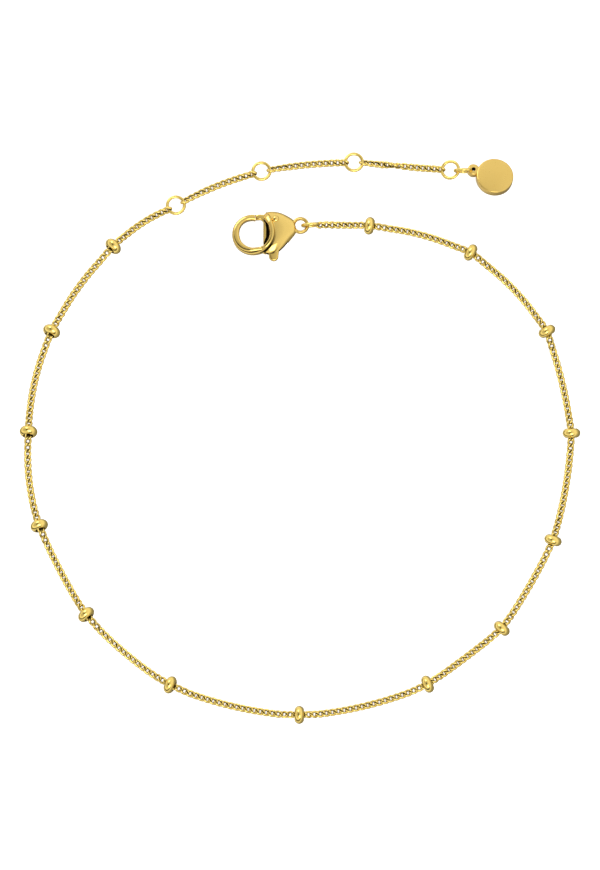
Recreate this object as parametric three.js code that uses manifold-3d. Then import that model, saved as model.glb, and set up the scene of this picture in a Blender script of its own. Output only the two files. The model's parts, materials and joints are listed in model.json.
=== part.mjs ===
// A fine gold satellite-chain anklet, laid open in its natural round: a curb chain with rondelle beads,
// a lobster clasp at one end, and an extender of four jump rings with a round tag at the other.
// Millimetres, +Z up. The anklet lies on Z = 0 and its bounding box is centred on the origin.
import * as THREE from "three";
import { mergeVertices } from "three/addons/utils/BufferGeometryUtils.js";
import Module from "manifold-3d";

// Driving dimensions ---------------------------------------------------------------------------

// Curb chain: a round envelope that lies on the floor and rises a little to enter each bead.
const CHAIN_R = 0.5;
const CHAIN_SIDES = 8;
const CHAIN_LOW_Z = 0.48;
const CHAIN_AT_CLASP_Z = 1.1;
const CHAIN_RISE_LENGTH = 3.2;

// Rondelle bead, from bore to rim and from end face to end face.
const BEAD_R = 1.27;
const BEAD_SIDES = 12;
const HALF_BEAD_PROFILE = [
  { r: 0.62, along: 0.35 },
  { r: 0.68, along: 0.68 },
  { r: 0.94, along: 0.58 },
  { r: 1.14, along: 0.38 },
  { r: BEAD_R, along: 0.13 },
];
const CHAIN_START_IN_BEAD = 0.4;

// Jump rings of round wire. A ring's radius is that of its wire's centre line.
const RING_R = 1.21;
const RING_WIRE_R = 0.2;
const LINK_RING_R = 1.2;
const LINK_RING_LEAN = 6;
const RING_STEPS = 20;
const WIRE_SIDES = 8;
const CHAIN_GAP_AT_RING = 0.12;

// Lobster clasp. U runs from the hook's middle to the eye, V across, W through its thickness.
const CLASP_X = -6.95;
const CLASP_Y = 29.45;
const CLASP_TURN = 9.5;
const CLASP_Z = 1.18;
const DOME_SQUASH = 0.435;
const DOME_SIDES = 20;
const MOUTH_U = 0.1;
const MOUTH_V = 0.3;
const MOUTH_R = 2.6;
const THROUGH_ALL = 3;
const HOOK_U = 0.15;
const HOOK_V = -0.13;
const HOOK_HALF_U = 2.35;
const HOOK_HALF_V = 2.5;
const HOOK_HALF_WIDTH = 0.47;
const HOOK_HALF_THICK = 0.75;
const NOSE_ANGLE = 72;
const HOOK_TURN = 198;
const EYE_U = 7.13;
const EYE_V = 0.04;
const EYE_R = 1.0;
const EYE_HALF_WIDTH = 0.23;
const EYE_HALF_THICK = 0.35;
const EYE_CORNER = 0.1;
const EYE_SIDES = 20;
const SLOT_THICK = 0.9;
const LEVER_THICK = 0.7;
const PIVOT_U = 3.75;
const PIVOT_V = 1.35;
const RIVET_R = 0.27;
const RIVET_BORE_R = 0.32;
const LEVER_HOLE_R = 0.34;
const RIVET_HALF_LENGTH = 1.04;

// Round tag with its ear.
const TAG_X = 27.75;
const TAG_Y = 37.72;
const TAG_Z = 1.16;
const TAG_R = 2.64;
const TAG_THICK = 1.3;
const TAG_EDGE = 0.18;
const TAG_SIDES = 32;
const EAR_REACH = 3.18;
const EAR_ANGLE = 163.5;
const EAR_R = 0.85;
const EAR_HOLE_R = 0.45;
const EAR_THICK = 0.7;
const TAG_NEAR_SIDE_LIFT = 11;
const TAG_EAR_SIDE_LIFT = 5;

// Where each bead lies on the floor, going round from the clasp to the extender.
const BEADS = [
  { x: 9.9, y: 30.6 },
  { x: 24.3, y: 26.7 },
  { x: 35.1, y: 15.2 },
  { x: 38.5, y: 0.4 },
  { x: 35.8, y: -15.1 },
  { x: 28.5, y: -27.8 },
  { x: 18.0, y: -35.8 },
  { x: -0.1, y: -40.2 },
  { x: -18.3, y: -35.9 },
  { x: -30.2, y: -25.8 },
  { x: -36.9, y: -13.0 },
  { x: -38.5, y: 0.6 },
  { x: -35.3, y: 15.2 },
  { x: -26.6, y: 27.6 },
];

// How far each stretch of chain bows outwards from the straight line between its ends.
const CHAIN_BOWS = [0.25, 0.85, 0.9, 0.45, 0.5, 0.3, 0.1, 0.8, 0.8, 0.55, 0.3, 0.7, 0.8, 0.7, 0.6];
const EXTENDER_BOWS = [0.4, 0.3, 0];

// The extender's rings lie level with the chain. The last one leans up on the tag's ring.
const EXTENDER_RINGS = [
  { x: -17.7, y: 33.8, z: CHAIN_LOW_Z, lean: 0 },
  { x: -5.5, y: 38.8, z: CHAIN_LOW_Z, lean: 0 },
  { x: 7.7, y: 40.1, z: CHAIN_LOW_Z, lean: 0 },
  { x: 21.45, y: 38.9, z: 0.82, lean: 16 },
];

// The two upright rings stand on the floor, edge-on from above.
const UPRIGHT_RING_Z = LINK_RING_R * Math.cos(radians(LINK_RING_LEAN)) + RING_WIRE_R;
const CLASP_RING = { x: 1.53, y: 30.7, turn: 4 };
const TAG_RING = { x: 23.3, y: 38.65, turn: 0 };

// Materials ------------------------------------------------------------------------------------

function gold(colour, roughness) {
  return new THREE.MeshStandardMaterial({ color: colour, roughness, metalness: 1 });
}

const polishedGold = gold(0xe2b24e, 0.18);
const chainGold = gold(0xdcaa48, 0.28);
const satinGold = gold(0xdcae52, 0.35);

// Solids ---------------------------------------------------------------------------------------

const wasm = await Module();
wasm.setup();

// A closed geometry as a solid that can be joined to another or cut by it.
function solid(geometry) {
  const bare = geometry.clone();
  bare.deleteAttribute("normal");
  bare.deleteAttribute("uv");
  const merged = mergeVertices(bare, 1e-4);
  const triangles = new wasm.Mesh({
    numProp: 3,
    vertProperties: merged.attributes.position.array,
    triVerts: new Uint32Array(merged.index.array),
  });
  return new wasm.Manifold(triangles);
}

function geometryOf(made) {
  const triangles = made.getMesh();
  const geometry = new THREE.BufferGeometry();
  geometry.setAttribute("position", new THREE.BufferAttribute(triangles.vertProperties, 3));
  geometry.setIndex(new THREE.BufferAttribute(triangles.triVerts, 1));
  geometry.computeVertexNormals();
  return geometry;
}

function mesh(name, geometry, material) {
  const made = new THREE.Mesh(geometry, material);
  made.name = name;
  return made;
}

function radians(degrees) {
  return THREE.MathUtils.degToRad(degrees);
}

// A flat outline given as [u, v] corners.
function outline(corners) {
  return new THREE.Shape(corners.map(([u, v]) => new THREE.Vector2(u, v)));
}

// A plate of an outline, centred on W = 0.
function plate(shape, thickness) {
  const geometry = new THREE.ExtrudeGeometry(shape, {
    depth: thickness,
    bevelEnabled: false,
    curveSegments: 6,
  });
  return geometry.translate(0, 0, -thickness / 2);
}

// A plain round pin along W.
function pin(radius, halfLength, sides) {
  return new THREE.CylinderGeometry(radius, radius, 2 * halfLength, sides).rotateX(Math.PI / 2);
}

function ellipse(halfX, halfY, sides) {
  const shape = new THREE.Shape();
  for (let i = 0; i < sides; i++) {
    const angle = (2 * Math.PI * (i + 0.5)) / sides;
    const point = [halfX * Math.cos(angle), halfY * Math.sin(angle)];
    if (i === 0) shape.moveTo(...point);
    else shape.lineTo(...point);
  }
  shape.closePath();
  return shape;
}

// Chain ----------------------------------------------------------------------------------------

// One stretch of chain: bowed outwards, low in the middle and lifted where an end is held higher.
class ChainStretch extends THREE.Curve {
  constructor(from, to, bow) {
    super();
    this.from = from;
    this.to = to;
    this.along = new THREE.Vector3().subVectors(to, from).setZ(0);
    this.length = this.along.length();
    this.outward = new THREE.Vector3(-this.along.y, this.along.x, 0).normalize();
    this.bow = bow;
  }

  // The share of an end's height that is left at this distance from it.
  static lift(distance) {
    const t = Math.min(distance / CHAIN_RISE_LENGTH, 1);
    return 1 - t * t * (3 - 2 * t);
  }

  getPoint(t, target = new THREE.Vector3()) {
    const z =
      CHAIN_LOW_Z +
      (this.from.z - CHAIN_LOW_Z) * ChainStretch.lift(t * this.length) +
      (this.to.z - CHAIN_LOW_Z) * ChainStretch.lift((1 - t) * this.length);
    target.copy(this.from).addScaledVector(this.along, t);
    target.addScaledVector(this.outward, 4 * this.bow * t * (1 - t));
    return target.setZ(z);
  }
}

function chainTube(name, from, to, bow, steps) {
  const section = ellipse(CHAIN_R, CHAIN_R, CHAIN_SIDES);
  const geometry = new THREE.ExtrudeGeometry(section, {
    steps,
    bevelEnabled: false,
    extrudePath: new ChainStretch(from, to, bow),
  });
  return mesh(name, geometry, chainGold);
}

// A point short of an end by a gap, on the way to the other end.
function shortOf(end, other, gap) {
  const back = new THREE.Vector3().subVectors(other, end).setZ(0).setLength(gap);
  return end.clone().add(back);
}

// Beads ----------------------------------------------------------------------------------------

// A rondelle turned about its bore, which runs along Y.
function beadGeometry() {
  const lower = HALF_BEAD_PROFILE.map(({ r, along }) => new THREE.Vector2(r, -along));
  const upper = HALF_BEAD_PROFILE.map(({ r, along }) => new THREE.Vector2(r, along)).reverse();
  return new THREE.LatheGeometry([...lower, ...upper, lower[0].clone()], BEAD_SIDES);
}

function bead(index) {
  const before = index === 0 ? CLASP_RING : BEADS[index - 1];
  const after = index === BEADS.length - 1 ? EXTENDER_RINGS[0] : BEADS[index + 1];
  const made = mesh("bead_" + twoDigits(index + 1), beadGeometry(), polishedGold);
  made.position.set(BEADS[index].x, BEADS[index].y, BEAD_R);
  made.rotation.z = Math.atan2(after.y - before.y, after.x - before.x) - Math.PI / 2;
  return made;
}

function twoDigits(number) {
  return String(number).padStart(2, "0");
}

// Jump rings -----------------------------------------------------------------------------------

function flatRing(name, place) {
  const made = mesh(name, new THREE.TorusGeometry(RING_R, RING_WIRE_R, WIRE_SIDES, RING_STEPS), chainGold);
  made.position.set(place.x, place.y, place.z);
  made.rotation.y = -radians(place.lean);
  return made;
}

function uprightRing(name, place) {
  const geometry = new THREE.TorusGeometry(LINK_RING_R, RING_WIRE_R, WIRE_SIDES, RING_STEPS);
  const made = mesh(name, geometry.rotateX(radians(90 + LINK_RING_LEAN)), chainGold);
  made.position.set(place.x, place.y, UPRIGHT_RING_Z);
  made.rotation.z = radians(place.turn);
  return made;
}

// Lobster clasp --------------------------------------------------------------------------------

// The teardrop dome: a turned shape, squashed in thickness, whose middle drifts towards the tail.
function domeGeometry() {
  const stations = [
    { u: -0.4, r: 0, v: -0.35 },
    { u: 0.3, r: 1.8, v: -0.4 },
    { u: 1.4, r: 2.84, v: -0.46 },
    { u: 2.5, r: 3.14, v: -0.46 },
    { u: 3.6, r: 2.92, v: -0.28 },
    { u: 4.6, r: 2.36, v: -0.08 },
    { u: 5.4, r: 1.72, v: 0.02 },
    { u: 6.0, r: 1.18, v: 0 },
    { u: 6.42, r: 0.8, v: 0 },
    { u: 6.42, r: 0, v: 0 },
  ];
  const profile = stations.map(({ u, r }) => new THREE.Vector2(r, u));
  const geometry = new THREE.LatheGeometry(profile, DOME_SIDES);
  // The lathe turns about its Y axis: that axis becomes U, and V takes each station's drift.
  geometry.rotateZ(-Math.PI / 2);
  const position = geometry.attributes.position;
  for (let i = 0; i < position.count; i++) {
    const station = stations.find(({ u }) => Math.abs(u - position.getX(i)) < 1e-4);
    position.setY(i, position.getY(i) + station.v);
    position.setZ(i, position.getZ(i) * DOME_SQUASH);
  }
  return geometry;
}

// The hook: a bent bar from the nose, round the far end, into the dome's lower cheek.
function hookGeometry() {
  const points = [];
  const steps = 9;
  for (let i = 0; i <= steps; i++) {
    const angle = radians(NOSE_ANGLE + (HOOK_TURN * i) / steps);
    const u = HOOK_U + HOOK_HALF_U * Math.cos(angle);
    const v = HOOK_V + HOOK_HALF_V * Math.sin(angle);
    points.push(new THREE.Vector3(u, v, 0));
  }
  points.push(new THREE.Vector3(1.5, -2.75, 0));
  points.push(new THREE.Vector3(2.8, -2.4, 0));
  return new THREE.ExtrudeGeometry(ellipse(HOOK_HALF_THICK, HOOK_HALF_WIDTH, 10), {
    steps: 18,
    bevelEnabled: false,
    extrudePath: new THREE.CatmullRomCurve3(points, false, "catmullrom", 0.5),
  });
}

// The eye: a ring of flat bar with its corners taken off.
function eyeGeometry() {
  const [w, t] = [EYE_HALF_WIDTH, EYE_HALF_THICK];
  const [insideW, insideT] = [w - EYE_CORNER, t - EYE_CORNER];
  const section = [
    [-w, -insideT],
    [-insideW, -t],
    [insideW, -t],
    [w, -insideT],
    [w, insideT],
    [insideW, t],
    [-insideW, t],
    [-w, insideT],
    [-w, -insideT],
  ];
  const profile = section.map(([r, y]) => new THREE.Vector2(EYE_R + r, y));
  return new THREE.LatheGeometry(profile, EYE_SIDES).rotateX(Math.PI / 2).translate(EYE_U, EYE_V, 0);
}

// The slot that the lever swings in: open at the mouth and along the lower side.
const SLOT_CORNERS = [
  [1.5, 2.8],
  [1.1, 0],
  [1.28, -1.7],
  [1.7, -4.2],
  [5.4, -4.2],
  [4.98, -2.1],
  [4.82, 1.2],
  [4.45, 1.9],
  [3.8, 2.2],
  [3.1, 2.3],
  [2.5, 2.7],
];

function claspBody() {
  const mouth = pin(MOUTH_R, THROUGH_ALL, 32).translate(MOUTH_U, MOUTH_V, 0);
  const slot = plate(outline(SLOT_CORNERS), SLOT_THICK);
  const bore = pin(RIVET_BORE_R, THROUGH_ALL, 12).translate(PIVOT_U, PIVOT_V, 0);
  const eyeHole = pin(EYE_R - EYE_HALF_WIDTH, THROUGH_ALL, EYE_SIDES).translate(EYE_U, EYE_V, 0);
  const underside = new THREE.BoxGeometry(20, 20, 2).translate(3, 0, -CLASP_Z - 1);
  const made = solid(domeGeometry())
    .subtract(solid(mouth))
    .add(solid(hookGeometry()))
    .add(solid(eyeGeometry()))
    .subtract(solid(slot))
    .subtract(solid(bore))
    .subtract(solid(eyeHole))
    .subtract(solid(underside));
  return mesh("clasp_body", geometryOf(made), polishedGold);
}

// The lever: gate at the top, plate beside the hook's opening, thumb tab below.
function claspLever() {
  const shape = new THREE.Shape();
  shape.moveTo(1.0, 2.6);
  shape.lineTo(1.7, 2.54);
  shape.lineTo(2.5, 2.34);
  shape.lineTo(3.1, 2.08);
  shape.absarc(PIVOT_U, PIVOT_V, 0.72, radians(110), radians(-20), true);
  shape.lineTo(3.62, -2.2);
  shape.lineTo(3.48, -3.2);
  shape.lineTo(3.3, -3.8);
  shape.absarc(2.62, -3.82, 0.68, radians(0), radians(-180), true);
  shape.lineTo(2.0, -3.2);
  shape.lineTo(1.46, -1.8);
  shape.lineTo(1.75, 0);
  shape.lineTo(1.97, 1.3);
  shape.lineTo(1.86, 1.62);
  shape.lineTo(1.6, 1.76);
  shape.lineTo(1.0, 1.8);
  shape.closePath();
  const hole = new THREE.Path();
  hole.absarc(PIVOT_U, PIVOT_V, LEVER_HOLE_R, 0, 2 * Math.PI, false);
  shape.holes.push(hole);
  return mesh("clasp_lever", plate(shape, LEVER_THICK), polishedGold);
}

function clasp() {
  const rivet = mesh("clasp_rivet", pin(RIVET_R, RIVET_HALF_LENGTH, 12), polishedGold);
  rivet.position.set(PIVOT_U, PIVOT_V, 0);
  const group = new THREE.Group();
  group.add(claspBody(), claspLever(), rivet);
  group.position.set(CLASP_X, CLASP_Y, CLASP_Z);
  group.rotation.z = radians(CLASP_TURN);
  return group;
}

// Tag ------------------------------------------------------------------------------------------

function tag() {
  const half = TAG_THICK / 2;
  const profile = [
    [0, -half],
    [TAG_R - TAG_EDGE, -half],
    [TAG_R, -half + TAG_EDGE],
    [TAG_R, half - TAG_EDGE],
    [TAG_R - TAG_EDGE, half],
    [0, half],
  ].map(([r, y]) => new THREE.Vector2(r, y));
  const disc = new THREE.LatheGeometry(profile, TAG_SIDES).rotateX(Math.PI / 2);
  const angle = radians(EAR_ANGLE);
  const [u, v] = [EAR_REACH * Math.cos(angle), EAR_REACH * Math.sin(angle)];
  const ear = pin(EAR_R, EAR_THICK / 2, 20).translate(u, v, 0);
  const hole = pin(EAR_HOLE_R, THROUGH_ALL, 16).translate(u, v, 0);
  const made = solid(disc).add(solid(ear)).subtract(solid(hole));
  const placed = mesh("tag", geometryOf(made), satinGold);
  placed.position.set(TAG_X, TAG_Y, TAG_Z);
  placed.rotation.set(-radians(TAG_NEAR_SIDE_LIFT), radians(TAG_EAR_SIDE_LIFT), 0);
  return placed;
}

// Assembly -------------------------------------------------------------------------------------

function point(place, z) {
  return new THREE.Vector3(place.x, place.y, z);
}

const anklet = new THREE.Group();

BEADS.forEach((_, index) => anklet.add(bead(index)));
EXTENDER_RINGS.forEach((place, index) => anklet.add(flatRing("extender_ring_" + (index + 1), place)));
anklet.add(uprightRing("clasp_ring", CLASP_RING), uprightRing("tag_ring", TAG_RING));
anklet.add(clasp(), tag());

// The main chain: from the clasp's ring through every bead to the first ring of the extender.
const stops = [
  { place: point(CLASP_RING, CHAIN_AT_CLASP_Z), gap: LINK_RING_R + RING_WIRE_R + CHAIN_GAP_AT_RING },
  ...BEADS.map((place) => ({ place: point(place, BEAD_R), gap: CHAIN_START_IN_BEAD })),
  { place: point(EXTENDER_RINGS[0], CHAIN_LOW_Z), gap: RING_R + RING_WIRE_R + CHAIN_GAP_AT_RING },
];
CHAIN_BOWS.forEach((bow, index) => {
  const [from, to] = [stops[index], stops[index + 1]];
  const start = shortOf(from.place, to.place, from.gap);
  const end = shortOf(to.place, from.place, to.gap);
  const steps = index === 0 ? 3 : 4;
  anklet.add(chainTube("chain_" + twoDigits(index + 1), start, end, bow, steps));
});

// The extender's chain, between its rings.
const ringGap = RING_R + RING_WIRE_R + CHAIN_GAP_AT_RING;
EXTENDER_BOWS.forEach((bow, index) => {
  const [from, to] = [EXTENDER_RINGS[index], EXTENDER_RINGS[index + 1]];
  const [a, b] = [point(from, CHAIN_LOW_Z), point(to, CHAIN_LOW_Z)];
  const name = "extender_chain_" + (index + 1);
  anklet.add(chainTube(name, shortOf(a, b, ringGap), shortOf(b, a, ringGap), bow, 4));
});

export default anklet;
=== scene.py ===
import json
import math
import random

import bmesh
import bpy
from mathutils import Matrix, Vector


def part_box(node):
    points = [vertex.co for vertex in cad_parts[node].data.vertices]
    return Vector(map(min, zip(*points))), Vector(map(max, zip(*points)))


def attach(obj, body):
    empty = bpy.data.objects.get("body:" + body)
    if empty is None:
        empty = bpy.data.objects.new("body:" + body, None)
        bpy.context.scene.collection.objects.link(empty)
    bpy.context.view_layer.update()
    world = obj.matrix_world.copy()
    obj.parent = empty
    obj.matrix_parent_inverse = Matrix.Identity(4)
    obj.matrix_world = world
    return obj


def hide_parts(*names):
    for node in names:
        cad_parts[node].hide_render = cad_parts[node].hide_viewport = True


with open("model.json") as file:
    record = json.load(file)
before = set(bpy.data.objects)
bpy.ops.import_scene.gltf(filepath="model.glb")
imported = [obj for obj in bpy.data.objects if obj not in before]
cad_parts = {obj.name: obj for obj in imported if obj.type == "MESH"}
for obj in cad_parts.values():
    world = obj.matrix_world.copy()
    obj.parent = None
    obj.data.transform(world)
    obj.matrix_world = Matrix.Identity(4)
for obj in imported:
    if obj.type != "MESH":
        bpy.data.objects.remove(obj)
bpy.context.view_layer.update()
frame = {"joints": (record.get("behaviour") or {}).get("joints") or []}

# Curb chain ----------------------------------------------------------------------------------
# Drawn wire is wound into small ovals, hooked one through the next, soldered shut and plated.
# Each link is then twisted a quarter turn end to end, so that the whole chain lies flat.

MM = 0.001
WIRE = 0.42 * MM
LINK_LENGTH = 1.69 * MM
LINK_WIDTH = 1.24 * MM
LINK_PITCH = LINK_LENGTH - 2 * WIRE
LINK_TWIST = math.radians(45)
LINK_STEPS = 10
WIRE_SIDES = 6
# One level of subdivision draws a six-sided cage in to this share of its size.
CAGE_SHRINK = 0.87
# How strong the painted shade is on a link where the next one nests in it, how much of that
# is kept to the inner side of the wire, and how near the bend it starts.
NESTING_SHADE = 3.2
NESTING_INSIDE = 0.8
NESTING_START = 0.72

# The height of a link's middle where the chain lies flat, and how much higher it lies where
# the chain is rolled on its edge.
CHAIN_LOW = 0.42 * MM
ROLLED_RISE = 0.2 * MM
# How far along a run its ends' height and their roll die away.
RISE_LENGTH = 3.2 * MM
ROLL_LENGTH = 3.5 * MM
# Each link rolls and leans by up to this many degrees in its neighbours.
ROLL_PLAY = 4
LEAN_PLAY = 2.5
play = random.Random(14)


class Level:
    """A number that varies over a surface. Sums on it add Math nodes."""

    def __init__(self, finish, socket):
        self.finish = finish
        self.socket = socket

    def maths(self, operation, first, second):
        return self.finish.node("Math", {"operation": operation}, {0: first, 1: second})

    def __add__(self, other):
        return self.maths("ADD", self, other)

    __radd__ = __add__

    def __sub__(self, other):
        return self.maths("SUBTRACT", self, other)

    def __rsub__(self, other):
        return self.maths("SUBTRACT", other, self)

    def __mul__(self, other):
        return self.maths("MULTIPLY", self, other)

    __rmul__ = __mul__


class Finish:
    """The nodes of a surface or of the light, and the one way in which they are added."""

    def __init__(self, owner):
        owner.use_nodes = True
        self.tree = owner.node_tree
        self.tree.nodes.clear()

    def node(self, kind, settings=None, sockets=None, out=0):
        made = self.tree.nodes.new("ShaderNode" + kind)
        for key, value in (settings or {}).items():
            if key == "stops":
                ramp = made.color_ramp.elements
                while len(ramp) < len(value):
                    ramp.new(0.5)
                for stop, (place, level) in zip(ramp, value):
                    stop.position = place
                    stop.color = (level, level, level, 1)
            else:
                setattr(made, key, value)
        for key, value in (sockets or {}).items():
            if isinstance(value, Level):
                self.tree.links.new(value.socket, made.inputs[key])
            else:
                made.inputs[key].default_value = value
        return Level(self, made.outputs[out]) if made.outputs else None

    def colour_mix(self, share, first, second):
        return self.node("Mix", {"data_type": "RGBA"}, {0: share, 6: first, 7: second}, out=2)


# Painted shade: the near-black colour put in bores, slots, the lip's crease and where links nest,
# and how much rougher the plate is there.
PAINTED_SHADE_COLOUR = (0.012, 0.007, 0.003, 1)
SHADE_ROUGHER = 0.45
# Patches of tone about 4 mm across, and marks that run long one way, as a polishing wheel's do.
PATCH_SCALE = 260.0
WHEEL_MARKS = (5200.0, 520.0, 900.0)


def gold_plate(name, pale, deep, roughness, roughness_range, bump_height, grain):
    """Gold plate: its tone drifts a little, and fine polishing marks roughen and dent it.

    Bores, slots, the crease by the lip and the places where links nest carry an attribute that
    paints shade on them: near black, and rougher.
    """
    plate = bpy.data.materials.new(name)
    finish = Finish(plate)
    inside = finish.node("Attribute", {"attribute_name": "unpolished"}, out=2)
    place = finish.node("TexCoord", out=3)
    patch = finish.node("TexNoise", sockets={
        "Vector": place, "Scale": PATCH_SCALE, "Detail": 3.0})
    speck = finish.node("TexNoise", sockets={"Vector": place, "Scale": grain, "Detail": 4.0})
    long_marks = finish.node(
        "Mapping", {"vector_type": "POINT"},
        {"Vector": place, "Rotation": (0.3, 0.2, 0.7), "Scale": WHEEL_MARKS},
    )
    marks = finish.node("TexNoise", sockets={"Vector": long_marks, "Scale": 1.0, "Detail": 2.0})
    plated = finish.colour_mix(patch, pale, deep)
    # Painted shade: near black wherever the attribute is set.
    tone = finish.colour_mix(inside, plated, PAINTED_SHADE_COLOUR)
    fine = (speck - 0.5) * roughness_range + (marks - 0.5) * roughness_range
    rough = roughness + fine + inside * SHADE_ROUGHER
    height = speck * 0.6 + marks * 0.4
    normal = finish.node(
        "Bump", sockets={"Strength": 1.0, "Distance": bump_height, "Height": height})
    shader = finish.node("BsdfPrincipled", sockets={
        "Base Color": tone, "Metallic": 1.0, "Roughness": rough, "Normal": normal})
    finish.node("OutputMaterial", sockets={"Surface": shader})
    return plate


chain_gold = gold_plate(
    "chain_gold", (0.97, 0.73, 0.21, 1), (0.88, 0.64, 0.17, 1), 0.16, 0.1, 2e-6, 9000.0)


def curb_link():
    """One link: a ring of wire drawn out to an oval and twisted about its length."""
    link = bmesh.new()
    cage = 0.5 * WIRE / CAGE_SHRINK
    bmesh.ops.create_circle(
        link, segments=WIRE_SIDES, radius=cage,
        matrix=Matrix.Translation((1, 0, 0)) @ Matrix.Rotation(math.pi / 2, 4, "X"))
    bmesh.ops.spin(
        link, geom=link.verts[:] + link.edges[:], cent=(0, 0, 0), axis=(0, 0, 1),
        angle=2 * math.pi, steps=LINK_STEPS, use_merge=True)
    half_length = 0.5 * (LINK_LENGTH - WIRE)
    half_width = 0.5 * (LINK_WIDTH - WIRE)
    unpolished = link.verts.layers.float.new("unpolished")
    for vert in link.verts:
        turn = math.atan2(vert.co.y, vert.co.x)
        out = math.hypot(vert.co.x, vert.co.y) - 1
        middle = Vector((half_length * math.cos(turn), half_width * math.sin(turn), 0))
        outward = Vector((half_width * math.cos(turn), half_length * math.sin(turn), 0))
        flat = middle + outward.normalized() * out + Vector((0, 0, vert.co.z))
        twist = LINK_TWIST * max(-1, min(1, flat.x / half_length))
        # Painted shade on the wire where the next link nests in it.
        nested = abs(math.cos(turn)) - NESTING_INSIDE * out / cage - NESTING_START
        vert[unpolished] = NESTING_SHADE * max(0, nested)
        vert.co = Matrix.Rotation(twist, 3, "X") @ flat
    bmesh.ops.recalc_face_normals(link, faces=link.faces)
    mesh = bpy.data.meshes.new("curb_link")
    link.to_mesh(mesh)
    link.free()
    return mesh


def middle_of(node):
    low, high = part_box(node)
    return 0.5 * (low + high)


def lift(distance):
    """The share of an end's height that is left at this distance from it."""
    t = min(distance / RISE_LENGTH, 1)
    return 1 - t * t * (3 - 2 * t)


class Run:
    """A run of chain on the table: bowed outwards, and lifted where its ends are held up."""

    def __init__(self, start, end, bow, start_roll=0, end_roll=0, rolled=None):
        self.start = start
        self.end = end
        self.bow = bow
        self.start_roll = start_roll
        self.end_roll = end_roll
        self.rolled = rolled
        self.along = (end - start) * Vector((1, 1, 0))
        self.length = self.along.length
        self.outward = Vector((-self.along.y, self.along.x, 0)).normalized()

    def point(self, t):
        flat = self.start + self.along * t + self.outward * (4 * self.bow * t * (1 - t))
        start_lift = (self.start.z - CHAIN_LOW) * lift(t * self.length)
        end_lift = (self.end.z - CHAIN_LOW) * lift((1 - t) * self.length)
        return Vector((flat.x, flat.y, CHAIN_LOW + start_lift + end_lift))

    def roll(self, t):
        """How far the chain is turned over about its own length."""
        near_start = max(0, 1 - t * self.length / ROLL_LENGTH)
        near_end = max(0, 1 - (1 - t) * self.length / ROLL_LENGTH)
        turn = self.start_roll * near_start + self.end_roll * near_end
        if self.rolled:
            middle, spread, amount = self.rolled
            turn += amount * math.exp(-(((t - middle) / spread) ** 2))
        return turn

    def places(self):
        """Where each link goes, as a matrix, evenly spaced from end to end."""
        count = round(self.length / LINK_PITCH)
        for i in range(count):
            t = (i + 0.5) / count
            step = 0.5 / count
            forward = (self.point(t + step) - self.point(t - step)).normalized()
            side = Vector((0, 0, 1)).cross(forward).normalized()
            up = forward.cross(side)
            turned = Matrix((forward, side, up)).transposed()
            roll = self.roll(t) + math.radians(play.uniform(-ROLL_PLAY, ROLL_PLAY))
            lean = math.radians(play.uniform(-LEAN_PLAY, LEAN_PLAY))
            spin = Matrix.Rotation(roll, 3, "X") @ Matrix.Rotation(lean, 3, "Z")
            lifted = self.point(t) + Vector((0, 0, ROLLED_RISE * abs(math.sin(roll))))
            yield Matrix.Translation(lifted) @ (turned @ spin).to_4x4()


def settle(piece, body, slot, *nodes):
    """Hands a finished piece to its body and hides the CAD nodes that it stands for. Its slot is
    not used.
    """
    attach(piece, body)
    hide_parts(*nodes)


def linked(mesh, name, material, levels):
    """An object of this mesh with its material, smooth, with live subdivision if asked."""
    mesh.materials.append(material)
    mesh.shade_smooth()
    piece = bpy.data.objects.new(name, mesh)
    bpy.context.scene.collection.objects.link(piece)
    if levels:
        rounding = piece.modifiers.new("rounding", "SUBSURF")
        rounding.levels = levels
        rounding.render_levels = levels
    return piece


one_link = curb_link()


def lay_chain(node, run):
    """A run of links as one piece, in place of the CAD's plain tube."""
    links = bmesh.new()
    for place in run.places():
        before = len(links.verts)
        links.from_mesh(one_link)
        links.verts.ensure_lookup_table()
        bmesh.ops.transform(links, matrix=place, verts=links.verts[before:])
    mesh = bpy.data.meshes.new(node + "_links")
    links.to_mesh(mesh)
    links.free()
    piece = linked(mesh, node + "_links", chain_gold, 1)
    settle(piece, "anklet", "chain_gold", node)
    return piece


# How far each stretch bows outwards, going round from the clasp to the extender.
BOWS = (0.25, 0.85, 0.9, 0.45, 0.5, 0.3, 0.1, 0.8, 0.8, 0.55, 0.3, 0.7, 0.8, 0.7, 0.6)
BEAD_COUNT = len(BOWS) - 1
QUARTER_ROLL = math.radians(45)
# From a ring's centre to the middle of the first link that hangs on it.
LINK_ON_RING = 1.44 * MM
# The clasp holds the chain's end up at this height.
CHAIN_AT_CLASP = 1.1 * MM


def off_ring(ring, towards):
    """The end of a run whose first link hangs on this ring."""
    way = (towards - ring) * Vector((1, 1, 0))
    return ring + way.normalized() * (LINK_ON_RING - 0.5 * LINK_PITCH)


bead_middles = [middle_of(f"bead_{i + 1:02}") for i in range(BEAD_COUNT)]
ring_middles = [middle_of(f"extender_ring_{i + 1}") for i in range(4)]

clasp_end = middle_of("clasp_ring")
clasp_end.z = CHAIN_AT_CLASP
stops = [
    off_ring(clasp_end, bead_middles[0]),
    *bead_middles,
    off_ring(ring_middles[0], bead_middles[-1]),
]
for i, bow in enumerate(BOWS):
    start_roll = QUARTER_ROLL if i == 0 else 0
    end_roll = QUARTER_ROLL if i == BEAD_COUNT else 0
    lay_chain(f"chain_{i + 1:02}", Run(stops[i], stops[i + 1], bow * MM, start_roll, end_roll))

# Rondelle beads ------------------------------------------------------------------------------
# Short turned beads with a wide bore, bright polished and plated, strung on the chain and
# fixed at even distances by a touch of solder inside the bore.

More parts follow.
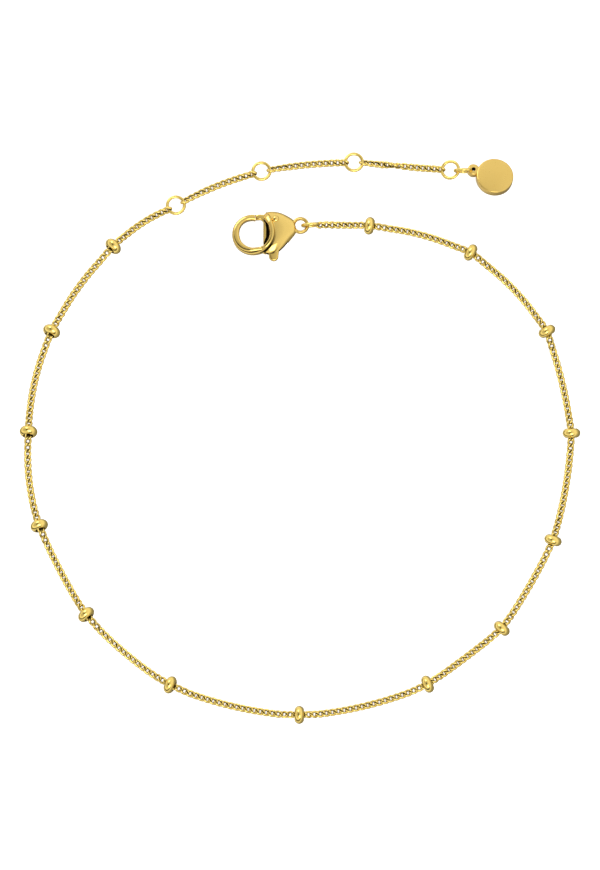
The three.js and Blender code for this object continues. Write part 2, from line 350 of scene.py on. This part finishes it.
BEAD_RADIUS = 1.3 * MM
BEAD_HALF_LENGTH = 0.82 * MM
BEAD_FULLNESS = 0.85
BORE_RADIUS = 0.66 * MM
BORE_CHAMFER = 0.05 * MM
ARC_STEPS = 8
BEAD_TURNS = 32

polished_gold = gold_plate(
    "polished_gold", (0.87, 0.63, 0.19, 1), (0.79, 0.54, 0.14, 1), 0.12, 0.06, 1.5e-6, 6000.0)
bead_gold = gold_plate(
    "bead_gold", (0.95, 0.72, 0.21, 1), (0.86, 0.62, 0.16, 1), 0.18, 0.08, 2e-6, 6000.0)

# How far each bead leans on the table, in degrees, as it settled when the chain was laid down.
BEAD_LEANS = (0, 6, 10, 12, 12, 10, 6, 0, 6, 8, 12, 14, 12, 10)


def turned_bead(place):
    """An arc from mouth to mouth, closed by the bore, turned about the chain's line."""
    outline = []
    mouth = math.asin((BORE_RADIUS + BORE_CHAMFER) / BEAD_RADIUS)
    for i in range(ARC_STEPS + 1):
        angle = mouth + (math.pi - 2 * mouth) * i / ARC_STEPS
        swell = math.sin(angle) ** BEAD_FULLNESS
        outline.append((-BEAD_HALF_LENGTH * math.cos(angle), BEAD_RADIUS * swell))
    lip = outline[-1][0] - BORE_CHAMFER
    for along in (lip, 0.4 * lip, -0.4 * lip, -lip):
        outline.append((along, BORE_RADIUS))
    bead = bmesh.new()
    corners = [bead.verts.new((along, radius, 0)) for along, radius in outline]
    for first, second in zip(corners, corners[1:] + corners[:1]):
        bead.edges.new((first, second))
    bmesh.ops.spin(
        bead, geom=bead.verts[:] + bead.edges[:], cent=(0, 0, 0), axis=(1, 0, 0),
        angle=2 * math.pi, steps=BEAD_TURNS, use_merge=True)
    bmesh.ops.recalc_face_normals(bead, faces=bead.faces)
    unpolished = bead.verts.layers.float.new("unpolished")
    # Painted shade in the bore: near black.
    for vert in bead.verts:
        vert[unpolished] = float(math.hypot(vert.co.y, vert.co.z) < BORE_RADIUS + 0.01 * MM)
    bmesh.ops.transform(bead, matrix=place, verts=bead.verts)
    mesh = bpy.data.meshes.new("turned_bead")
    bead.to_mesh(mesh)
    bead.free()
    return mesh


bead_neighbours = [middle_of("clasp_ring"), *bead_middles, ring_middles[0]]
for i, middle in enumerate(bead_middles):
    chord = bead_neighbours[i + 2] - bead_neighbours[i]
    bearing = math.atan2(chord.y, chord.x)
    lean = Matrix.Rotation(math.radians(BEAD_LEANS[i]), 4, "Y")
    place = Matrix.Translation(middle) @ Matrix.Rotation(bearing, 4, "Z") @ lean
    node = f"bead_{i + 1:02}"
    piece = linked(turned_bead(place), node + "_turned", bead_gold, 1)
    settle(piece, "anklet", "polished_gold", node)

# Extender ------------------------------------------------------------------------------------
# Four round jump rings with short lengths of the same chain between them, so that the clasp
# can be hooked at one of four sizes. The rings are closed and soldered.

RING_RADIUS = 1.235 * MM
RING_WIRE = 0.48 * MM
RING_STEPS = 32
RING_SIDES = 10
# The last ring leans, because the tag's ring lifts its edge.
RING_LEANS = (0, 0, 0, 16)


def jump_ring(radius, place):
    """A closed ring of round wire, lying flat before it is put in its place."""
    ring = bmesh.new()
    bmesh.ops.create_circle(
        ring, segments=RING_SIDES, radius=0.5 * RING_WIRE,
        matrix=Matrix.Translation((radius, 0, 0)) @ Matrix.Rotation(math.pi / 2, 4, "X"))
    bmesh.ops.spin(
        ring, geom=ring.verts[:] + ring.edges[:], cent=(0, 0, 0), axis=(0, 0, 1),
        angle=2 * math.pi, steps=RING_STEPS, use_merge=True)
    bmesh.ops.recalc_face_normals(ring, faces=ring.faces)
    bmesh.ops.transform(ring, matrix=place, verts=ring.verts)
    mesh = bpy.data.meshes.new("jump_ring")
    ring.to_mesh(mesh)
    ring.free()
    return mesh


for i, middle in enumerate(ring_middles):
    lean = Matrix.Rotation(-math.radians(RING_LEANS[i]), 4, "Y")
    node = f"extender_ring_{i + 1}"
    place = Matrix.Translation(middle) @ lean
    piece = linked(jump_ring(RING_RADIUS, place), node + "_wire", chain_gold, 1)
    settle(piece, "anklet", "chain_gold", node)

EXTENDER_BOWS = (0.4, 0.3, 0)
# The last stretch is rolled on its edge for a short way: where, over how much, and how far.
EXTENDER_ROLLED = (None, None, (0.42, 0.12, math.radians(75)))
for i in range(3):
    start = off_ring(ring_middles[i], ring_middles[i + 1])
    end = off_ring(ring_middles[i + 1], ring_middles[i])
    end.z = ring_middles[0].z
    run = Run(
        start, end, EXTENDER_BOWS[i] * MM, -QUARTER_ROLL, QUARTER_ROLL, EXTENDER_ROLLED[i])
    lay_chain(f"extender_chain_{i + 1}", run)

# Lobster clasp -------------------------------------------------------------------------------
# One casting carries the hook, the domed body and the eye. It is modelled in millimetres with
# U from the hook's middle to the eye, V across and W through its thickness, then put in place.

PIVOT = (3.75, 1.35)
CLASP_TURN = math.radians(9.5)
HOOK_MIDDLE = (0.15, -0.13)
MOUTH_RADIUS = 2.46
# The parts of the casting are fused at this grain, and then smoothed.
CAST_GRAIN = 0.05
# The underside is worn flat where it rests.
REST_DEPTH = 1.18

hinge = frame["joints"][0]
clasp_place = (
    Matrix.Translation(Vector(hinge["pos_m"]))
    @ Matrix.Rotation(CLASP_TURN, 4, "Z")
    @ Matrix.Scale(MM, 4)
    @ Matrix.Translation((-PIVOT[0], -PIVOT[1], 0))
)


def as_object(shape, name):
    """A bmesh as a working object. The bmesh is used up."""
    mesh = bpy.data.meshes.new(name)
    shape.to_mesh(mesh)
    shape.free()
    worked = bpy.data.objects.new(name, mesh)
    bpy.context.scene.collection.objects.link(worked)
    return worked


def with_modifiers(worked):
    """Makes a working object's modifiers part of its mesh."""
    graph = bpy.context.evaluated_depsgraph_get()
    mesh = bpy.data.meshes.new_from_object(worked.evaluated_get(graph))
    worked.modifiers.clear()
    worked.data = mesh
    return worked


def subdivided(worked, levels):
    modifier = worked.modifiers.new("smooth", "SUBSURF")
    modifier.levels = levels
    return with_modifiers(worked)


def joined(worked, tool, operation):
    """Cuts a tool out of a working object, or keeps what the two share."""
    modifier = worked.modifiers.new("tool", "BOOLEAN")
    modifier.operation = operation
    modifier.object = tool
    modifier.solver = "EXACT"
    with_modifiers(worked)
    bpy.data.objects.remove(tool)
    return worked


# The body along U: its half width, how far its middle drifts sideways, and half its thickness.
DOME = (
    (-0.45, 0.4, -0.35, 0.3),
    (-0.2, 1.1, -0.38, 0.6),
    (0.5, 2.1, -0.44, 0.9),
    (1.5, 2.98, -0.48, 1.14),
    (2.5, 3.3, -0.5, 1.26),
    (3.5, 3.1, -0.32, 1.3),
    (4.5, 2.56, -0.12, 1.2),
    (5.3, 1.92, 0, 1.0),
    (5.95, 1.34, 0, 0.74),
    (6.45, 0.86, 0, 0.48),
)
CROWN = 2.6
FLANK = 1.7
DOME_SIDES = 28


def crowned(off):
    """The share of the thickness at this share of the half width: a crown with steep flanks."""
    return (1 - min(1, abs(off)) ** CROWN) ** (1 / FLANK)


def dome():
    """The teardrop body, turned about U and then pressed to a crowned section."""
    shape = bmesh.new()
    corners = [shape.verts.new((u, 1, 0)) for u, _, _, _ in DOME]
    for first, second in zip(corners, corners[1:]):
        shape.edges.new((first, second))
    bmesh.ops.spin(
        shape, geom=shape.verts[:] + shape.edges[:], cent=(0, 0, 0), axis=(1, 0, 0),
        angle=2 * math.pi, steps=DOME_SIDES, use_merge=True)
    bmesh.ops.holes_fill(shape, edges=shape.edges, sides=0)
    for vert in shape.verts:
        _, half, drift, thick = next(row for row in DOME if abs(row[0] - vert.co.x) < 1e-4)
        pressed = math.copysign(thick * crowned(vert.co.y), vert.co.z)
        vert.co = (vert.co.x, half * vert.co.y + drift, pressed)
    bmesh.ops.recalc_face_normals(shape, faces=shape.faces)
    return subdivided(as_object(shape, "dome"), 3)


def dome_height(u, v):
    """Half the body's thickness at this place."""
    for low, high in zip(DOME, DOME[1:]):
        if low[0] <= u <= high[0]:
            share = (u - low[0]) / (high[0] - low[0])
            half, drift, thick = (a + (b - a) * share for a, b in zip(low[1:], high[1:]))
            return thick * crowned((v - drift) / half)
    return 0


def post(middle, radius, height, segments=96):
    """A round post along W, for cutting with."""
    shape = bmesh.new()
    bmesh.ops.create_cone(
        shape, cap_ends=True, segments=segments, radius1=radius, radius2=radius, depth=height,
        matrix=Matrix.Translation((*middle, 0)))
    return as_object(shape, "post")


# The hook, from its nose round to the lip of the mouth: the angle about its middle, its inner
# edge, the shoulder where its flat top ends, its outer edge and its half thickness.
HOOK = (
    (62, 2.0, 2.74, 2.88, 0.62),
    (110, 2.02, 2.7, 2.88, 0.7),
    (180, 1.86, 2.76, 2.92, 0.8),
    (225, 1.95, 2.74, 3.0, 0.88),
    (270, 2.06, 2.58, 3.08, 1.0),
    (310, 2.4, 3.0, 3.2, 0.9),
    (345, 2.5, 3.14, 3.34, 0.9),
    (375, 2.54, 3.18, 3.38, 0.9),
    (395, 2.56, 3.46, 3.64, 0.9),
    (406, 2.8, 3.6, 3.74, 0.8),
)
HOOK_STEPS = 36
# How far the lip stands above the dome once the hook has reached it.
LIP_START = 270
LIP_RISE = 0.3


def hook():
    """The hook's bar. It swells as it goes round, and rides up on the dome as a raised lip."""
    shape = bmesh.new()
    rings = []
    for i in range(HOOK_STEPS + 1):
        angle = HOOK[0][0] + (HOOK[-1][0] - HOOK[0][0]) * i / HOOK_STEPS
        for low, high in zip(HOOK, HOOK[1:]):
            if low[0] <= angle <= high[0] + 1e-6:
                share = (angle - low[0]) / (high[0] - low[0])
                share = share * share * (3 - 2 * share)
                inner, shoulder, outer, height = (
                    a + (b - a) * share for a, b in zip(low[1:], high[1:]))
                break
        way = Vector((math.cos(math.radians(angle)), math.sin(math.radians(angle)), 0))
        crest = Vector((*HOOK_MIDDLE, 0)) + way * (0.5 * (inner + shoulder))
        if angle > LIP_START:
            height = max(height, dome_height(crest.x, crest.y) + LIP_RISE)
        half = (
            (inner, 0.45 * height), (inner + 0.03, height - 0.16), (inner + 0.16, height),
            (shoulder - 0.14, height), (shoulder + 0.06, height - 0.1),
            (outer, 0.4 * height),
        )
        section = [*half, *((radius, -w) for radius, w in reversed(half))]
        middle = Vector((*HOOK_MIDDLE, 0))
        rings.append([
            shape.verts.new(middle + way * radius + Vector((0, 0, w))) for radius, w in section])
    for ring in rings:
        for first, second in zip(ring, ring[1:] + ring[:1]):
            shape.edges.new((first, second))
    for ring, following in zip(rings, rings[1:]):
        pair = [
            e for e in shape.edges
            if all(v in ring for v in e.verts) or all(v in following for v in e.verts)]
        bmesh.ops.bridge_loops(shape, edges=pair)
    bmesh.ops.holes_fill(shape, edges=shape.edges, sides=0)
    bmesh.ops.recalc_face_normals(shape, faces=shape.faces)
    return subdivided(as_object(shape, "hook"), 2)


EYE_MIDDLE = (7.13, 0.04)
EYE_RADIUS = 1.0
# Half the width and half the thickness of its bar.
EYE_BAR = (0.25, 0.38)


def eye():
    """The ring at the body's narrow end, of a bar that is deeper than it is wide."""
    shape = bmesh.new()
    stand = Matrix.Rotation(math.pi / 2, 4, "X") @ Matrix.Diagonal((*EYE_BAR, 1, 1))
    bmesh.ops.create_circle(
        shape, segments=16, radius=1, matrix=Matrix.Translation((EYE_RADIUS, 0, 0)) @ stand)
    bmesh.ops.spin(
        shape, geom=shape.verts[:] + shape.edges[:], cent=(0, 0, 0), axis=(0, 0, 1),
        angle=2 * math.pi, steps=64, use_merge=True)
    bmesh.ops.translate(shape, vec=(*EYE_MIDDLE, 0), verts=shape.verts)
    bmesh.ops.recalc_face_normals(shape, faces=shape.faces)
    return as_object(shape, "eye")


def outlined(corners, thickness):
    """A plate of this outline, centred on W = 0."""
    shape = bmesh.new()
    face = shape.faces.new([shape.verts.new((u, v, -thickness / 2)) for u, v in corners])
    grown = bmesh.ops.extrude_face_region(shape, geom=[face])["geom"]
    bmesh.ops.translate(
        shape, vec=(0, 0, thickness),
        verts=[g for g in grown if isinstance(g, bmesh.types.BMVert)])
    bmesh.ops.recalc_face_normals(shape, faces=shape.faces)
    return shape


# The slot between the two cheeks, which the lever works in, and the hole for its pin.
SLOT = (
    (1.5, 2.8), (1.1, 0), (1.28, -1.7), (1.7, -4.2), (5.4, -4.2), (4.98, -2.1),
    (4.82, 1.2), (4.45, 1.9), (3.8, 2.2), (3.1, 2.3), (2.5, 2.7),
)
SLOT_WIDTH = 0.9
PIN_HOLE = 0.32

# Above the mouth's middle its edge runs straight up. The nose ends square at the gate.
MOUTH_TOP = ((0.2, 0.2), (2.62, 0.2), (2.6, 0.8), (2.42, 1.5), (2.3, 2.0), (2.26, 3.4), (0.2, 3.4))
NOSE_CUT = ((0.95, 1.2), (2.1, 1.2), (2.1, 3.2), (0.95, 3.2))


def paint_shade(mesh, test):
    """Paints shade, near black and rougher, on the faces that pass this test."""
    marks = mesh.attributes.new("unpolished", "FLOAT", "FACE")
    marks.data.foreach_set("value", [float(test(face)) for face in mesh.polygons])


# The painted shade in the crease where the lip springs from the body, on the upper cheek: the
# angles between which it shows, how far out it runs, how wide it is, and how sharply its sides
# come up. It opens out a little as it climbs, and fades over its last part.
CREASE_ANGLES = (-78, 10)
CREASE_RADIUS = 3.1
CREASE_OPENING = 0.1
CREASE_WIDTH = 0.2
CREASE_GAIN = 2.4


def crease_shade(place):
    """How strong the painted shade of the crease is at this place."""
    off = Vector(place[:2]) - Vector(HOOK_MIDDLE)
    angle = math.degrees(math.atan2(off.y, off.x))
    first, last = CREASE_ANGLES
    if not first < angle < last or place[2] < 0.4:
        return 0
    edge = CREASE_RADIUS + CREASE_OPENING * min(1, (angle - first) / 40)
    share = 1 - abs(off.length - edge) / CREASE_WIDTH
    fade = min(1, (last + 2 - angle) / 55)
    return max(0, min(1, CREASE_GAIN * share)) * fade


def clasp_casting():
    """Dome, hook and eye fused into one casting, and then cut for the gate, lever and pin."""
    body = joined(dome(), post(HOOK_MIDDLE, MOUTH_RADIUS, 6), "DIFFERENCE")
    joined(body, as_object(outlined(MOUTH_TOP, 6), "mouth_top"), "DIFFERENCE")
    whole = bmesh.new()
    for part in (body, hook(), eye()):
        whole.from_mesh(part.data)
        bpy.data.objects.remove(part)
    cast = as_object(whole, "cast")
    fuse = cast.modifiers.new("fuse", "REMESH")
    fuse.mode = "VOXEL"
    fuse.voxel_size = CAST_GRAIN
    soften = cast.modifiers.new("soften", "SMOOTH")
    soften.factor = 0.5
    soften.iterations = 7
    with_modifiers(cast)
    for vert in cast.data.vertices:
        vert.co.z = max(vert.co.z, -REST_DEPTH)
    joined(cast, as_object(outlined(NOSE_CUT, 6), "nose_cut"), "DIFFERENCE")
    joined(cast, as_object(outlined(SLOT, SLOT_WIDTH), "slot"), "DIFFERENCE")
    joined(cast, post(PIVOT, PIN_HOLE, 6, 48), "DIFFERENCE")
    mesh = cast.data
    wall = SLOT_WIDTH / 2
    # Painted shade on the slot's flat walls and in the crease by the lip.
    paint_shade(mesh, lambda face: max(
        abs(face.normal.z) > 0.98 and wall - 0.03 < abs(face.center.z) < wall + 0.01,
        crease_shade(face.center)))
    bpy.data.objects.remove(cast)
    mesh.transform(clasp_place)
    return mesh


def edged(piece, degrees):
    """Keeps edges sharper than this crisp, and rounds the shading of the rest."""
    piece.data.set_sharp_from_angle(angle=math.radians(degrees))
    return piece


casting = edged(linked(clasp_casting(), "clasp_casting", polished_gold, 0), 40)
settle(casting, "anklet", "polished_gold", "clasp_body")

# Clasp lever ---------------------------------------------------------------------------------
# The gate that closes the hook, the plate that turns on the rivet and the thumb tab are one
# stamped piece with rounded edges. A spring hidden in the body holds it shut.

LEVER_THICKNESS = 0.72
LEVER_ROUNDING = 0.2


def arc(middle, radius, first, last, steps):
    """Corners along an arc of an outline, from one angle to another in degrees."""
    for i in range(steps + 1):
        angle = math.radians(first + (last - first) * i / steps)
        yield middle[0] + radius * math.cos(angle), middle[1] + radius * math.sin(angle)


# The gate's back edge, and how far the lever is sunk behind it to clear the spring.
GATE_BACK = ((2.0, 1.55), (2.22, 1.2), (2.2, 0.27), (1.98, -0.91), (1.42, -1.84))
TROUGH_REST = ((1.9, -2.15), (2.9, -1.9), (3.08, 0), (2.95, 1.4), (2.6, 1.7))
TROUGH_FLOOR = 0.12


def round_rims(shape, size):
    """Rounds the rims of both faces of a flat piece, as tumbling does."""
    rims = [e for e in shape.edges if abs(e.verts[0].co.z - e.verts[1].co.z) < 1e-6]
    bmesh.ops.bevel(
        shape, geom=rims, offset=size, offset_type="OFFSET", segments=4, profile=0.5,
        affect="EDGES", material=-1, clamp_overlap=True)


def trough(side):
    """The sunk place behind the gate, on one face of the lever. Its wall slopes."""
    shape = bmesh.new()
    floor = [
        shape.verts.new((u + 0.18, v, side * TROUGH_FLOOR)) for u, v in GATE_BACK + TROUGH_REST]
    face = shape.faces.new(floor)
    grown = bmesh.ops.extrude_face_region(shape, geom=[face])["geom"]
    bmesh.ops.translate(
        shape, vec=(-0.27, 0, side * 0.36),
        verts=[g for g in grown if isinstance(g, bmesh.types.BMVert)])
    bmesh.ops.recalc_face_normals(shape, faces=shape.faces)
    return as_object(shape, "trough")


def stamped_lever():
    """The lever as one outline: gate, nose, the round of the pivot, thumb tab and back."""
    corners = [
        (1.0, 2.6), (1.7, 2.54), (2.5, 2.34), (3.1, 2.08),
        *arc(PIVOT, 0.72, 110, -20, 6),
        (3.62, -2.2), (3.48, -3.2),
        *arc((2.62, -3.82), 0.68, 0, -180, 10),
        (2.0, -3.2), (1.46, -1.8), (1.75, 0), (1.97, 1.3), (1.86, 1.62), (1.6, 1.76), (1.0, 1.8),
    ]
    shape = outlined(corners, LEVER_THICKNESS)
    round_rims(shape, LEVER_ROUNDING)
    lever = as_object(shape, "lever")
    for side in (1, -1):
        joined(lever, trough(side), "DIFFERENCE")
    mesh = lever.data
    bpy.data.objects.remove(lever)
    # Painted shade on the lever behind the gate, where it is sunk, and on its edge there.
    paint_shade(mesh, lambda face: (
        -1.9 < face.center.y < 1.7 and face.center.x > 2.0 + 0.2 * face.center.y
        and abs(face.center.z) < 0.3))
    mesh.transform(clasp_place)
    return mesh


lever = edged(linked(stamped_lever(), "lever_stamping", polished_gold, 0), 35)
settle(lever, "lever", "polished_gold", "clasp_lever")

# Clasp rivet ---------------------------------------------------------------------------------
# A plain pin through both cheeks of the body, domed over at each end and polished flush.

RIVET_RADIUS = 0.27
HEAD_RADIUS = 0.48
HEAD_BASE = 1.06
HEAD_TOP = 1.34


def domed_pin():
    """The pin and both heads as one profile, turned about the hinge's line."""
    half = ((RIVET_RADIUS, 0), (RIVET_RADIUS, HEAD_BASE), (HEAD_RADIUS, HEAD_BASE))
    crown = [
        (HEAD_RADIUS * math.cos(turn), HEAD_BASE + 0.03 + (HEAD_TOP - HEAD_BASE) * math.sin(turn))
        for turn in (math.pi / 12 * i for i in range(6))]
    shape = bmesh.new()
    top = [*half, *crown, (0, HEAD_TOP + 0.03)]
    outline = [(radius, -w) for radius, w in reversed(top)] + top[1:]
    corners = [shape.verts.new((PIVOT[0] + radius, PIVOT[1], w)) for radius, w in outline]
    for first, second in zip(corners, corners[1:]):
        shape.edges.new((first, second))
    bmesh.ops.spin(
        shape, geom=shape.verts[:] + shape.edges[:], cent=(*PIVOT, 0), axis=(0, 0, 1),
        angle=2 * math.pi, steps=32, use_merge=True)
    bmesh.ops.remove_doubles(shape, verts=shape.verts, dist=1e-5)
    bmesh.ops.recalc_face_normals(shape, faces=shape.faces)
    for vert in shape.verts:
        vert.co.z = max(vert.co.z, 0.01 - REST_DEPTH)
    mesh = bpy.data.meshes.new("domed_pin")
    shape.to_mesh(mesh)
    shape.free()
    mesh.transform(clasp_place)
    return mesh


rivet = edged(linked(domed_pin(), "rivet_pin", polished_gold, 0), 35)
settle(rivet, "anklet", "polished_gold", "clasp_rivet")

# Upright jump rings --------------------------------------------------------------------------
# One joins the clasp's eye to the chain and one joins the last extender ring to the tag. They
# stand on edge, because what they hold lies flat.

LINK_RING_RADIUS = 1.18 * MM
LINK_RING_LEAN = 6
for node, turn in (("clasp_ring", 4), ("tag_ring", 0)):
    lean = Matrix.Rotation(math.radians(90 + LINK_RING_LEAN), 4, "X")
    stand = Matrix.Rotation(math.radians(turn), 4, "Z") @ lean
    place = Matrix.Translation(middle_of(node)) @ stand
    piece = linked(jump_ring(LINK_RING_RADIUS, place), node + "_wire", chain_gold, 1)
    settle(piece, "anklet", "chain_gold", node)

# Tag -----------------------------------------------------------------------------------------
# A round cast tag with an ear on its edge, its face satin-finished and left bare, and its rim
# tumbled round. It leans on the ring that holds it.

TAG_RADIUS = 2.66
TAG_THICKNESS = 1.3
TAG_ROUNDING = 0.18
EAR_REACH = 3.18
EAR_ANGLE = math.radians(163.5)
EAR_RADIUS = 0.85
EAR_THICKNESS = 1.1
EAR_ROUNDING = 0.2
EAR_HOLE = 0.29
TAG_NEAR_SIDE_LIFT = math.radians(11)
TAG_EAR_SIDE_LIFT = math.radians(5)
TAG_MIDDLE = Vector((27.75, 37.74, 1.17)) * MM

satin_gold = gold_plate(
    "satin_gold", (0.84, 0.59, 0.17, 1), (0.76, 0.52, 0.14, 1), 0.3, 0.1, 2.5e-6, 8000.0)


def cast_tag():
    """The disc and its ear in one, pierced for the ring, and leaned on the table."""
    disc = bmesh.new()
    bmesh.ops.create_cone(
        disc, cap_ends=True, segments=96, radius1=TAG_RADIUS, radius2=TAG_RADIUS,
        depth=TAG_THICKNESS)
    round_rims(disc, TAG_ROUNDING)
    ear_middle = (EAR_REACH * math.cos(EAR_ANGLE), EAR_REACH * math.sin(EAR_ANGLE))
    ear = bmesh.new()
    bmesh.ops.create_cone(
        ear, cap_ends=True, segments=48, radius1=EAR_RADIUS, radius2=EAR_RADIUS,
        depth=EAR_THICKNESS, matrix=Matrix.Translation((*ear_middle, 0)))
    round_rims(ear, EAR_ROUNDING)
    tag = joined(as_object(disc, "disc"), as_object(ear, "ear"), "UNION")
    joined(tag, post(ear_middle, EAR_HOLE, 4, 48), "DIFFERENCE")
    mesh = tag.data
    bpy.data.objects.remove(tag)
    # Painted shade on the wall of the ear's hole.
    paint_shade(mesh, lambda face: (
        math.dist(face.center[:2], ear_middle) < 0.4 and abs(face.normal.z) < 0.2))
    mesh.transform(
        Matrix.Translation(TAG_MIDDLE)
        @ Matrix.Rotation(-TAG_NEAR_SIDE_LIFT, 4, "X")
        @ Matrix.Rotation(TAG_EAR_SIDE_LIFT, 4, "Y")
        @ Matrix.Scale(MM, 4))
    return mesh


tag = edged(linked(cast_tag(), "tag_casting", satin_gold, 0), 35)
settle(tag, "anklet", "satin_gold", "tag")

# Table, light and camera ---------------------------------------------------------------------
# The anklet lies on a white table in a light tent. The tent is brightest part of the way up and
# has a narrow dark gap in front, so that polished metal shows pale tops and thin dark lines.

TABLE_SIZE = 3.0


def white_table():
    shape = bmesh.new()
    bmesh.ops.create_grid(shape, x_segments=1, y_segments=1, size=TABLE_SIZE / 2)
    table = as_object(shape, "table")
    white = bpy.data.materials.new("white_paper")
    paper = Finish(white)
    glow = paper.node("BsdfPrincipled", sockets={
        "Base Color": (0.93, 0.93, 0.93, 1), "Roughness": 0.9,
        "Emission Color": (1, 1, 1, 1), "Emission Strength": 0.62})
    paper.node("OutputMaterial", sockets={"Surface": glow})
    table.data.materials.append(white)
    table.visible_glossy = False
    return table


white_table()

# Places from straight down (0) over the horizon (0.5) to straight up (1), against brightness.
# The front of the tent has a dark gap where it meets the table, and the back is a white sweep
# that runs into it. The top is greyer, where the lens looks in. The metal doesn't see the
# table: it sees a pale belt below the horizon, and grey straight below.
FRONT = (
    (0.0, 0.3), (0.2, 0.5), (0.34, 1.1), (0.42, 1.0), (0.49, 0.01), (0.58, 0.01), (0.66, 0.5),
    (0.78, 1.35), (0.9, 0.9), (1.0, 0.64),
)
BACK = ((0.0, 0.3), (0.2, 0.5), (0.36, 1.0), (0.5, 1.1), (0.8, 1.0), (0.93, 0.8), (1.0, 0.64))
BRIGHT_BEARING = Vector((0.75, 0.66, 0))
# The dark gap dips on the left, where the table ends.
TENT_UP = Vector((-0.67, 0, 1))
# The dark opening that the lens looks in through, up and to the left: its direction, how far
# its edge and its dark middle reach from that, in radians, and how dark it is.
OPENING = Vector((-0.38, -0.05, 0.92))
OPENING_EDGE = 0.32
OPENING_CORE = 0.2
OPENING_DARK = 0.93

tent = bpy.data.worlds.new("light_tent")
bpy.context.scene.world = tent
light = Finish(tent)
way = light.node("TexCoord")
up = light.node("VectorMath", {"operation": "DOT_PRODUCT"}, {0: way, 1: TENT_UP}, out=1)
behind = light.node(
    "VectorMath", {"operation": "DOT_PRODUCT"}, {0: way, 1: BRIGHT_BEARING.normalized()}, out=1)
height = up * 0.5 + 0.5
front = light.node("ValToRGB", {"stops": FRONT}, {0: height})
back = light.node("ValToRGB", {"stops": BACK}, {0: height})
share = light.node("MapRange", {"interpolation_type": "SMOOTHSTEP"}, {
    "Value": behind, "From Min": -0.4, "From Max": 0.25})
towards_opening = light.node(
    "VectorMath", {"operation": "DOT_PRODUCT"}, {0: way, 1: OPENING.normalized()}, out=1)
opening = light.node("MapRange", {"interpolation_type": "SMOOTHSTEP"}, {
    "Value": towards_opening, "From Min": math.cos(OPENING_EDGE),
    "From Max": math.cos(OPENING_CORE)})
walls = light.colour_mix(share, front, back)
seen = light.colour_mix(opening * OPENING_DARK, walls, (0, 0, 0, 1))
glow = light.node("Background", sockets={"Color": seen})
light.node("OutputWorld", sockets={"Surface": glow})


def lamp(name, place, size, power):
    """A square soft lamp that faces the middle of the anklet."""
    bulb = bpy.data.lights.new(name, "AREA")
    bulb.size = size
    bulb.energy = power
    holder = bpy.data.objects.new(name, bulb)
    holder.location = place
    holder.rotation_euler = Vector(place).to_track_quat("Z", "Y").to_euler()
    holder.visible_camera = False
    bpy.context.scene.collection.objects.link(holder)


lamp("soft_lamp_front", (0.1, -0.55, 0.75), 0.5, 2.3)
lamp("soft_lamp_back", (-0.35, 0.6, 0.6), 0.4, 1.6)

# A long lens from high above, a little to the front.
ELEVATION = math.radians(78)
LENS = 400
SENSOR = 36
FIELD = 123.5 * MM
AIM = Vector((0, 0.4, 0)) * MM

camera_data = bpy.data.cameras.new("camera")
camera_data.lens = LENS
camera_data.sensor_width = SENSOR
camera_data.clip_start = 0.01
camera = bpy.data.objects.new("camera", camera_data)
reach = LENS / SENSOR * FIELD
camera.location = AIM + reach * Vector((0, -math.cos(ELEVATION), math.sin(ELEVATION)))
camera.rotation_euler = (math.pi / 2 - ELEVATION, 0, 0)
bpy.context.scene.collection.objects.link(camera)
bpy.context.scene.camera = camera
bpy.context.scene.view_settings.view_transform = "Standard"
